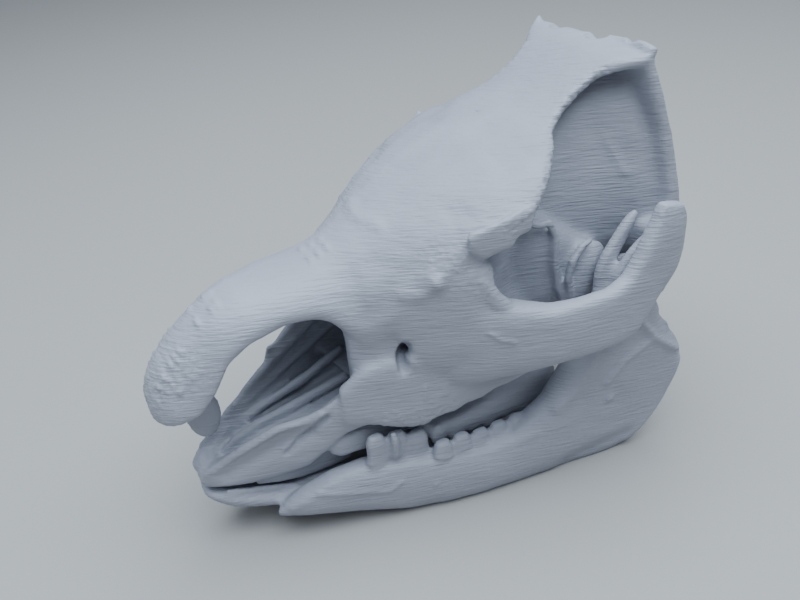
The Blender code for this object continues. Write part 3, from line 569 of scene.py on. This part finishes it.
CHEEK_RIM = (
    (64.0, -24.2, 35.0), (73.4, -27.0, 33.8), (82.0, -29.0, 36.0), (93.4, -30.8, 40.2), (104.0, -31.6, 42.8),
    (114.0, -31.0, 43.6),
)
for start, end in zip(CHEEK_RIM, CHEEK_RIM[1:]):
    a, b = Vector(start), Vector(end)
    for step in range(CHEEK_CHIPS):
        point = a.lerp(b, (step + dice.random()) / CHEEK_CHIPS)
        radius = dice.uniform(*CHEEK_CHIP_SIZE)
        sunk = Vector((0.0, 0.0, radius * 0.45))
        chips.append(ball(f"chip_left_{len(chips)}", point - sunk, [radius] * 3))
CREST_BITES = ((149.0, -2.0, 130.6, 4.6), (149.0, 15.0, 130.4, 4.8), (149.0, 6.0, 130.9, 3.0),
               (151.0, -16.0, 130.9, 3.0), (143.0, 27.5, 129.0, 3.0))
bites = [ball(f"bite_{x}_{y}", (x, y, z), [radius] * 3) for x, y, z, radius in CREST_BITES]
carve(cranium, both_sides(chips) + bites, CHIP_VOXEL)
print(len(chips), "chips on each side")

# %% [markdown]
# ## The lower jaw
#
# The jaw is two flat bodies that join in a spoon at the front. At the back each rises
# into a broad plate with a finger that reaches up inside the cheek arch. It is pressed
# from beams in the same way, and its underside is planed flat where it rests.

# %% Jaw bodies
JAW_BODY = (
    (25.6, -13.5, 9.6, 11.0, 0.7), (28.2, -13.9, 9.0, 13.2, 1.9), (34.0, -14.8, 8.0, 16.8, 3.8),
    (43.0, -16.6, 6.0, 20.2, 5.0), (54.0, -19.0, 3.2, 22.5, 5.5), (66.0, -22.0, 0.4, 22.0, 5.8),
    (78.0, -24.6, -0.8, 19.5, 6.0), (90.0, -26.8, -0.8, 18.8, 6.2), (100.0, -28.4, -0.8, 21.0, 6.0),
    (106.0, -29.6, -0.8, 25.0, 5.6), (112.0, -30.6, -0.8, 30.0, 5.6), (116.0, -31.0, -0.8, 36.5, 5.7),
    (119.5, -31.6, -0.8, 43.5, 5.6), (123.5, -32.3, -0.8, 50.0, 5.3), (129.0, -33.6, -0.8, 56.0, 4.6),
    (137.0, -34.6, -0.6, 60.5, 4.4), (143.0, -36.2, 2.0, 61.0, 3.5), (147.0, -37.0, 6.4, 58.0, 3.1),
    (149.5, -37.4, 10.0, 52.0, 2.8), (153.5, -37.7, 17.0, 47.0, 2.6), (156.0, -37.9, 22.5, 40.5, 2.2),
    (158.2, -38.0, 29.0, 36.0, 1.4),
)
JAW_FINGER = (
    (50.0, 130.0, -34.6, 8.0, 2.8), (60.0, 130.0, -33.8, 4.6, 2.4), (66.0, 129.8, -32.8, 3.0, 1.9),
    (70.0, 130.6, -32.3, 3.1, 1.9), (75.0, 133.0, -32.1, 3.1, 1.9), (79.0, 135.8, -32.0, 3.0, 1.9),
    (83.0, 138.8, -32.0, 2.6, 1.8), (85.4, 140.6, -32.0, 1.9, 1.5), (86.4, 141.2, -32.0, 1.2, 1.0),
)
JAW_PRONG = [(130.0, -36.0, 60.0), (132.6, -36.8, 70.0), (136.4, -37.0, 75.6), (141.0, -37.2, 80.2)]
CHIN = (
    (7.6, 18.4, 20.2, 3.0, 3.6), (9.6, 16.2, 20.6, 5.2, 6.5), (14.0, 12.8, 19.6, 7.5, 9.5),
    (20.0, 10.3, 17.3, 8.5, 11.0), (27.0, 8.4, 14.5, 9.5, 12.0), (34.0, 6.8, 13.8, 11.0, 13.0),
    (43.0, 5.5, 15.0, 12.0, 14.0), (52.0, 5.0, 14.0, 12.0, 14.5),
)
SPOON = (
    (11.0, 19.5, 30.0, 3.0, 5.0), (18.0, 15.0, 30.0, 5.0, 8.0), (28.0, 11.5, 30.0, 5.5, 9.0),
    (40.0, 10.5, 30.0, 6.5, 10.0), (60.0, 9.0, 30.0, 8.0, 11.0),
)
jaw_left = [
    beam("jaw_body_left", JAW_BODY),
    column("jaw_finger_left", JAW_FINGER),
    rod("jaw_prong_left", JAW_PRONG, [2.4, 1.8, 1.9, 1.6]),
    ball("jaw_web_left", (136.6, -31.6, 67.6), (3.6, 1.6, 6.4), lean=25.0),
    ball("jaw_joint_left", JAW_JOINT, (3.8, 7.2, 4.6)),
]
jaw = press("skull_jaw", both_sides(jaw_left) + [trunk("chin", CHIN)], ROUGH_VOXEL, 6)
carve(jaw, [trunk("spoon", SPOON)], ROUGH_VOXEL)
print("jaw:", len(jaw.data.polygons), "faces")

# %% [markdown]
# The lower teeth stand on the jaw in a row. Those in front are tall, with a small peg
# beside them, and those behind are worn down to a low wavy ridge. A thin rail runs along
# the inside of the spoon.

# %% Lower teeth
FRONT_TOP, STEP_TOP, BACK_TOP, END_TOP = 33.6, 29.6, 25.2, 23.0
FIRST_TOOTH, LAST_TOOTH, STEP, TEETH = 54.5, 113.0, 74.0, 9
WAVE = 0.5
FRONT_FOOT, BACK_FOOT = 21.0, 18.6
PEG = [(62.6, -23.8, 24.0), (62.6, -24.4, 31.0), (62.4, -24.0, 33.6)]


def tooth_top(x):
    """Height of the lower teeth: tall in front, a step, then low."""
    if x < STEP:
        return FRONT_TOP + (STEP_TOP - FRONT_TOP) * (x - FIRST_TOOTH) / (STEP - FIRST_TOOTH)
    return BACK_TOP + (END_TOP - BACK_TOP) * (x - STEP) / (LAST_TOOTH - STEP)


lower = []
pitch = (LAST_TOOTH - FIRST_TOOTH) / TEETH
for index in range(TEETH):
    x = FIRST_TOOTH + pitch * (index + 0.5)
    y = -21.2 - (x - 56.0) * 0.105 if x < STEP else -26.3 - (x - STEP) * 0.03
    top = tooth_top(x) + WAVE * sin(index * 2.1)
    foot = FRONT_FOOT if x < STEP else BACK_FOOT
    lower.append(column(f"lower_left_{index}", (
        (foot - 4.0, x, y, pitch * 0.46, 0.8), (foot, x, y, pitch * 0.5 + 0.2, 2.1),
        (top - 2.5, x, y, pitch * 0.48, 2.0), (top, x, y, pitch * 0.34, 1.2)), power=3.2))
lower.append(rod("peg_left", PEG, [1.6, 1.4, 1.1]))
RAIL = [(13.6, -6.2, 20.0), (17.0, -6.8, 19.0), (26.0, -7.6, 16.2), (35.0, -8.4, 13.4)]
lower.append(rod("rail_left", RAIL, [0.9, 1.0, 1.0, 0.9]))
jaw = press("skull_jaw", [jaw] + both_sides(lower), FINE_VOXEL, 2)
print(TEETH, "lower teeth on each side")

# %% Plane the underside
bm = bmesh.new()
bmesh.ops.create_cube(bm, size=1.0)
bmesh.ops.translate(bm, vec=(0, 0, -0.5), verts=bm.verts)
plane_block = new_object("plane_block", bm)
cut = jaw.modifiers.new("Boolean", "BOOLEAN")
cut.operation = "DIFFERENCE"
cut.solver = "MANIFOLD"
cut.object = plane_block
apply_modifiers(jaw)
bpy.data.objects.remove(plane_block)
print("lowest point of the jaw:", min(v.co.z for v in jaw.data.vertices))

# %% [markdown]
# ## Marks in the surface
#
# Ridges, scars, pits and the uneven feel of bone are raised from the surface itself, so
# that they are real shapes. Each mark is a line of points with a width and a height,
# and it pushes the points near it along their normals.

# %% Marks that follow lines
def line_distance(points, line):
    """Distance of every point from a line through some places, in millimetres."""
    best = np.full(len(points), 1e9)
    for start, end in zip(line, line[1:]):
        a, b = np.array(start), np.array(end)
        along = b - a
        share = np.clip((points - a) @ along / (along @ along), 0.0, 1.0)
        best = np.minimum(best, np.linalg.norm(points - a - share[:, None] * along, axis=1))
    return best


SIDE_FOLD = np.array((1.0, 0.35, 1.0))


def mesh_points(piece):
    """Points in millimetres from the nose tip, and normals, of a piece."""
    count = len(piece.data.vertices)
    points, normals = np.empty(count * 3), np.empty(count * 3)
    piece.data.vertices.foreach_get("co", points)
    piece.data.vertices.foreach_get("normal", normals)
    points = points.reshape(-1, 3) / MM + np.array((SKULL_LENGTH / 2, 0.0, 0.0))
    return points, normals.reshape(-1, 3)


def mark(points, marks):
    """Height of all marks at every point; the left side's marks show on both sides."""
    folded = points * np.array((1.0, 0.0, 1.0)) - np.abs(points) * np.array((0.0, 1.0, 0.0))
    height = np.zeros(len(points))
    for line, width, rise in marks:
        line = line if len(line) > 1 else line + [tuple(c + 0.01 for c in line[0])]
        line = [tuple(np.array(spot) * SIDE_FOLD) for spot in line]
        height += rise * np.exp(-(line_distance(folded * SIDE_FOLD, line) / width) ** 2)
    return height


print("marks are set in millimetres: a line, its width and its height")

# %% Marks of the upper skull
UPPER_MARKS = [
    ([(69.5, -26.5, 80.2), (74.0, -29.5, 80.6), (77.4, -31.0, 83.6)], 1.6, 0.6),
    ([(77.2, -31.0, 84.4)], 2.4, 1.3),
    ([(69.8, -25.4, 59.4), (70.4, -25.8, 57.6)], 1.2, 0.8),
    ([(72.7, -27.2, 49.6), (72.4, -27.2, 45.4)], 0.7, 0.45),
    ([(78.1, -28.2, 49.0), (78.0, -28.2, 45.2)], 0.7, 0.45),
    ([(88.5, -37.6, 67.6), (91.0, -39.4, 65.2), (94.4, -40.9, 64.2)], 0.7, 0.45),
    ([(69.0, -3.0, 93.4), (71.0, -8.5, 94.0)], 1.6, 0.6),
    ([(86.4, -25.7, 98.4), (88.6, -27.0, 99.2)], 2.4, -0.7),
    ([(87.0, -31.0, 96.6), (91.0, -33.4, 97.6)], 1.4, 0.5),
    ([(104.0, -20.0, 107.5), (110.0, -22.0, 108.6)], 2.6, -0.8),
    ([(45.6, -16.5, 42.3), (39.0, -15.0, 36.4), (33.0, -13.6, 31.0)], 0.9, -1.2),
    ([(44.4, -16.4, 43.8), (38.0, -15.0, 38.0), (32.0, -13.4, 32.6)], 0.9, 0.5),
    ([(15.0, -8.0, 27.0), (24.0, -10.0, 31.4), (33.0, -12.4, 35.4), (40.0, -14.8, 37.0)], 2.4, -1.2),
    ([(13.0, 0.0, 32.0), (8.4, 0.0, 29.6), (6.8, 0.0, 26.0), (7.4, 0.0, 22.6)], 0.6, -0.8),
    ([(140.0, -20.6, 104.0), (144.0, -23.0, 94.0)], 1.2, 0.4),
    ([(12.0, -6.0, 29.4), (22.6, -9.8, 36.0), (32.0, -12.4, 40.6), (40.0, -14.4, 41.6)], 0.9, 0.5),
]
NOSE_BUMPS = ((52.5, 3.1, 86.4), (55.3, 2.8, 87.1), (58.2, 2.3, 88.1), (25.1, -3.2, 82.0), (23.3, -3.8, 81.3),
              (18.9, -4.2, 78.9), (12.4, -6.0, 73.1), (10.8, -5.9, 71.7), (9.3, -6.1, 70.1),
              (6.6, -6.4, 67.2), (4.8, -6.4, 64.5), (9.1, -10.3, 63.6), (3.4, -2.0, 60.0))
for spot in NOSE_BUMPS:
    UPPER_MARKS.append(([(spot[0], -abs(spot[1]), spot[2])], 0.8, 0.6))
print(len(UPPER_MARKS), "marks on the upper skull")

# %% Marks of the jaw
JAW_MARKS = [
    ([(131.0, -39.0, 26.1)], 1.5, 0.9),
    ([(38.6, -18.6, 17.0), (45.6, -22.0, 16.0), (58.8, -25.4, 13.4), (62.4, -26.4, 15.8)], 0.9, 0.45),
    ([(72.5, -30.0, 11.7)], 1.0, 0.5),
    ([(139.0, -39.0, 54.0), (146.5, -40.0, 44.0), (155.0, -39.6, 36.6)], 1.2, 1.1),
    ([(144.0, -39.8, 44.0), (135.0, -39.4, 38.5), (130.0, -38.6, 33.0)], 1.4, 0.8),
    ([(150.0, -40.0, 50.0), (153.0, -40.0, 44.0)], 3.0, -1.3),
    ([(140.0, -39.5, 3.5), (148.0, -40.0, 10.5), (154.5, -40.0, 20.0), (157.0, -39.0, 31.0)], 1.6, 0.6),
    ([(118.0, -36.6, 3.0), (128.0, -38.0, 5.0), (138.0, -39.0, 7.0)], 3.0, -0.7),
    ([(113.0, -34.0, 27.5), (119.5, -36.0, 33.5), (124.5, -37.6, 42.0), (127.0, -37.8, 50.0)], 1.6, 0.8),
    ([(30.0, -16.4, 13.0), (44.0, -20.0, 20.5), (54.0, -22.6, 23.4)], 1.4, 0.5),
    ([(60.0, -27.6, 20.6), (75.0, -30.0, 18.6), (92.0, -32.4, 17.6), (106.0, -34.0, 20.0)], 1.5, 0.4),
    ([(71.0, -28.0, 21.6), (78.0, -29.4, 19.6), (84.0, -30.4, 20.4), (92.0, -31.6, 19.4),
      (101.0, -32.4, 22.4)], 0.7, 0.5),
]
print(len(JAW_MARKS), "marks on the jaw")

# %% [markdown]
# Bone is never quite even. Two sizes of noise go over everything: slow swells, and a
# finer roughness that is strong only near the rim, the nose tip and the cheek.

# %% Uneven surface
ROUGH_ZONES = (
    (RIM, 2.4, 0.3), (((76.0, -30.0, 91.0), (84.0, -33.0, 88.0), (91.0, -36.0, 80.0)), 6.0, 0.16),
    (((3.0, -3.0, 60.0), (12.0, -8.0, 68.0)), 8.0, 0.2),
    (((60.0, -24.0, 38.0), (78.0, -28.0, 40.0)), 5.0, 0.16),
)
PLAIN_ROUGHNESS, FINE_GAIN, SWELL = 0.035, 1.6, 0.22
FINE_WAVE, FINE_WAVE_UP = 1.3, 0.8
SLOW_WAVE, SLOW_WAVE_UP = 9.0, 7.0


def unevenness(points, zones):
    """Noise height at every point, rougher near the lines of the zones."""
    folded = points * np.array((1.0, 0.0, 1.0)) - np.abs(points) * np.array((0.0, 1.0, 0.0))
    rough = np.full(len(points), PLAIN_ROUGHNESS)
    for line, reach, amount in zones:
        rough += amount * np.exp(-(line_distance(folded, line) / reach) ** 2)
    height = np.empty(len(points))
    for index, point in enumerate(points.tolist()):
        fine = noise.noise((point[0] / FINE_WAVE, point[1] / FINE_WAVE, point[2] / FINE_WAVE_UP))
        slow = noise.noise((point[0] / SLOW_WAVE, point[1] / SLOW_WAVE, point[2] / SLOW_WAVE_UP))
        height[index] = rough[index] * fine * FINE_GAIN + SWELL * slow
    return height


# %% Press to the final mesh
PIECE_TRIANGLES = 185000
LAST_SMOOTHING, LAST_SOFTNESS = 2, 0.4
FLOOR_BAND = 0.4


def finish_mesh(piece, marks, zones):
    """One even skin, with its marks, thinned where it is flat."""
    remesh = piece.modifiers.new("Remesh", "REMESH")
    remesh.mode = "VOXEL"
    remesh.voxel_size = FINE_VOXEL * MM
    soften = piece.modifiers.new("Smooth", "SMOOTH")
    soften.iterations = LAST_SMOOTHING
    soften.factor = LAST_SOFTNESS
    apply_modifiers(piece)
    points, normals = mesh_points(piece)
    height = mark(points, marks) + unevenness(points, zones)
    on_floor = points[:, 2] < FLOOR_BAND
    height[on_floor] = 0.0
    points += normals * height[:, None]
    points -= np.array((SKULL_LENGTH / 2, 0.0, 0.0))
    piece.data.vertices.foreach_set("co", (points * MM).ravel())
    piece.data.update()
    triangles = sum(len(face.vertices) - 2 for face in piece.data.polygons)
    if triangles > PIECE_TRIANGLES:
        thin = piece.modifiers.new("Decimate", "DECIMATE")
        thin.ratio = PIECE_TRIANGLES / triangles
        apply_modifiers(piece)
    piece.data.shade_smooth()
    print(piece.name, triangles, "triangles pressed,", len(piece.data.polygons), "faces kept")


finish_mesh(cranium, UPPER_MARKS, ROUGH_ZONES)
finish_mesh(jaw, JAW_MARKS, ())

# %% [markdown]
# ## Grey printed plastic
#
# The print is satin grey plastic with a faint blue tone. It was built in thin level
# layers while it lay tilted, so the fine lines run all one way over every form. Two
# noises squeezed along the build direction make these lines, and a third breaks up the
# gloss.

# %% Plastic with print lines
GREY = (0.34, 0.35, 0.402, 1.0)
DARKER, LIGHTER = 0.9, 1.07
LAYER_TILT = (radians(16.7), radians(-8.2), 0.0)


def grey_plastic():
    """Satin plastic whose bump follows the print layers."""
    material = bpy.data.materials.new("grey_print_plastic")
    material.use_nodes = True
    nodes, links = material.node_tree.nodes, material.node_tree.links
    shader = nodes["Principled BSDF"]
    shader.inputs["Roughness"].default_value = 0.5
    shader.inputs["Specular IOR Level"].default_value = 0.42
    place_node = nodes.new("ShaderNodeTexCoord")
    turned = nodes.new("ShaderNodeMapping")
    turned.inputs["Rotation"].default_value = LAYER_TILT
    links.new(place_node.outputs["Object"], turned.inputs["Vector"])

    def streaks(scale, detail):
        squeeze = nodes.new("ShaderNodeMapping")
        squeeze.inputs["Scale"].default_value = scale
        links.new(turned.outputs["Vector"], squeeze.inputs["Vector"])
        texture = nodes.new("ShaderNodeTexNoise")
        texture.inputs["Scale"].default_value = 1.0
        texture.inputs["Detail"].default_value = detail
        links.new(squeeze.outputs["Vector"], texture.inputs["Vector"])
        return texture.outputs["Fac"]

    lines = streaks((190.0, 190.0, 2100.0), 2.0)
    wide_lines = streaks((110.0, 110.0, 1250.0), 1.0)
    pits = streaks((900.0, 900.0, 1300.0), 2.0)
    tone = streaks((22.0, 22.0, 60.0), 3.0)

    sum_lines = nodes.new("ShaderNodeMath")
    sum_lines.operation = "ADD"
    links.new(lines, sum_lines.inputs[0])
    links.new(wide_lines, sum_lines.inputs[1])
    bump = nodes.new("ShaderNodeBump")
    bump.inputs["Strength"].default_value = 0.6
    bump.inputs["Distance"].default_value = 0.0004
    links.new(sum_lines.outputs["Value"], bump.inputs["Height"])
    grain = nodes.new("ShaderNodeBump")
    grain.inputs["Strength"].default_value = 0.3
    grain.inputs["Distance"].default_value = 0.0002
    links.new(pits, grain.inputs["Height"])
    links.new(bump.outputs["Normal"], grain.inputs["Normal"])
    links.new(grain.outputs["Normal"], shader.inputs["Normal"])

    colour = nodes.new("ShaderNodeValToRGB")
    colour.color_ramp.elements[0].position = 0.3
    colour.color_ramp.elements[0].color = [c * DARKER for c in GREY[:3]] + [1.0]
    colour.color_ramp.elements[1].position = 0.7
    colour.color_ramp.elements[1].color = [c * LIGHTER for c in GREY[:3]] + [1.0]
    links.new(tone, colour.inputs["Fac"])
    links.new(colour.outputs["Color"], shader.inputs["Base Color"])
    return material


plastic = grey_plastic()
for piece in (cranium, jaw):
    piece.data.materials.clear()
    piece.data.materials.append(plastic)
    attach(piece, "root")
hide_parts("braincase", "face", "nasal_bones", "premaxilla_left", "premaxilla_right",
            "cheek_arch_left", "cheek_arch_right")
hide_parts("jaw_left", "jaw_right", "jaw_front")
print("two printed pieces stand for", len(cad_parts), "packed nodes")

# %% [markdown]
# ## Floor, light and camera
#
# The skull stands on a plain pale floor, under one large soft light from above and a
# surround that is bright overhead and dark at the horizon. The camera looks down on its
# left side from in front.

# %% Floor and light
FLOOR_HALF = 3.0
FLOOR_COLOUR = (0.38, 0.37, 0.355, 1.0)
HORIZON, ZENITH, SURROUND = (0.05, 0.047, 0.045, 1.0), (0.74, 0.85, 1.0, 1.0), 0.66
SKY_PLACE, SKY_AIM, SKY_COLOUR = (0.02, -0.08, 0.75), (0.0, 0.0, 0.05), (0.78, 0.89, 1.0)
SKY_SIZE, SKY_POWER = 0.9, 14.5
bm = bmesh.new()
bmesh.ops.create_grid(bm, x_segments=1, y_segments=1, size=FLOOR_HALF)
floor = new_object("floor", bm)
floor_paint = bpy.data.materials.new("floor_paint")
floor_paint.use_nodes = True
floor_shader = floor_paint.node_tree.nodes["Principled BSDF"]
floor_shader.inputs["Base Color"].default_value = FLOOR_COLOUR
floor_shader.inputs["Roughness"].default_value = 0.9
floor.data.materials.append(floor_paint)


def soft_light(name, spot, aim, size, power, colour):
    """A square area light that faces a point."""
    lamp = bpy.data.objects.new(name, bpy.data.lights.new(name, "AREA"))
    lamp.data.size = size
    lamp.data.energy = power
    lamp.data.color = colour
    lamp.location = spot
    lamp.rotation_euler = (Vector(aim) - Vector(spot)).to_track_quat("-Z", "Y").to_euler()
    bpy.context.scene.collection.objects.link(lamp)
    return lamp


soft_light("sky", SKY_PLACE, SKY_AIM, SKY_SIZE, SKY_POWER, SKY_COLOUR)
world = bpy.data.worlds.new("surround")
world.use_nodes = True
nodes, links = world.node_tree.nodes, world.node_tree.links
heading = nodes.new("ShaderNodeTexCoord")
parts = nodes.new("ShaderNodeSeparateXYZ")
fade = nodes.new("ShaderNodeValToRGB")
fade.color_ramp.elements[0].color = HORIZON
fade.color_ramp.elements[1].color = ZENITH
links.new(heading.outputs["Generated"], parts.inputs["Vector"])
links.new(parts.outputs["Z"], fade.inputs["Fac"])
links.new(fade.outputs["Color"], nodes["Background"].inputs["Color"])
nodes["Background"].inputs["Strength"].default_value = SURROUND
bpy.context.scene.world = world

# %% Camera
CAMERA_PLACE = (-0.0863, -0.1884, 0.1948)
AZIMUTH, ELEVATION, ROLL = radians(-23.46), radians(33.06), radians(-6.0)
LENS = 36.0
back = Vector((sin(AZIMUTH) * cos(ELEVATION), -cos(AZIMUTH) * cos(ELEVATION), sin(ELEVATION)))
level = Vector((cos(AZIMUTH), sin(AZIMUTH), 0.0))
rise = back.cross(level)
right = level * cos(ROLL) + rise * sin(ROLL)
up = rise * cos(ROLL) - level * sin(ROLL)
camera = bpy.data.objects.new("camera", bpy.data.cameras.new("camera"))
camera.data.lens = LENS
camera.data.sensor_width = 36.0
camera.data.clip_start = 0.01
camera.matrix_world = Matrix.Translation(CAMERA_PLACE) @ Matrix((right, up, back)).transposed().to_4x4()
bpy.context.scene.collection.objects.link(camera)
bpy.context.scene.camera = camera
print("camera at", tuple(camera.location))
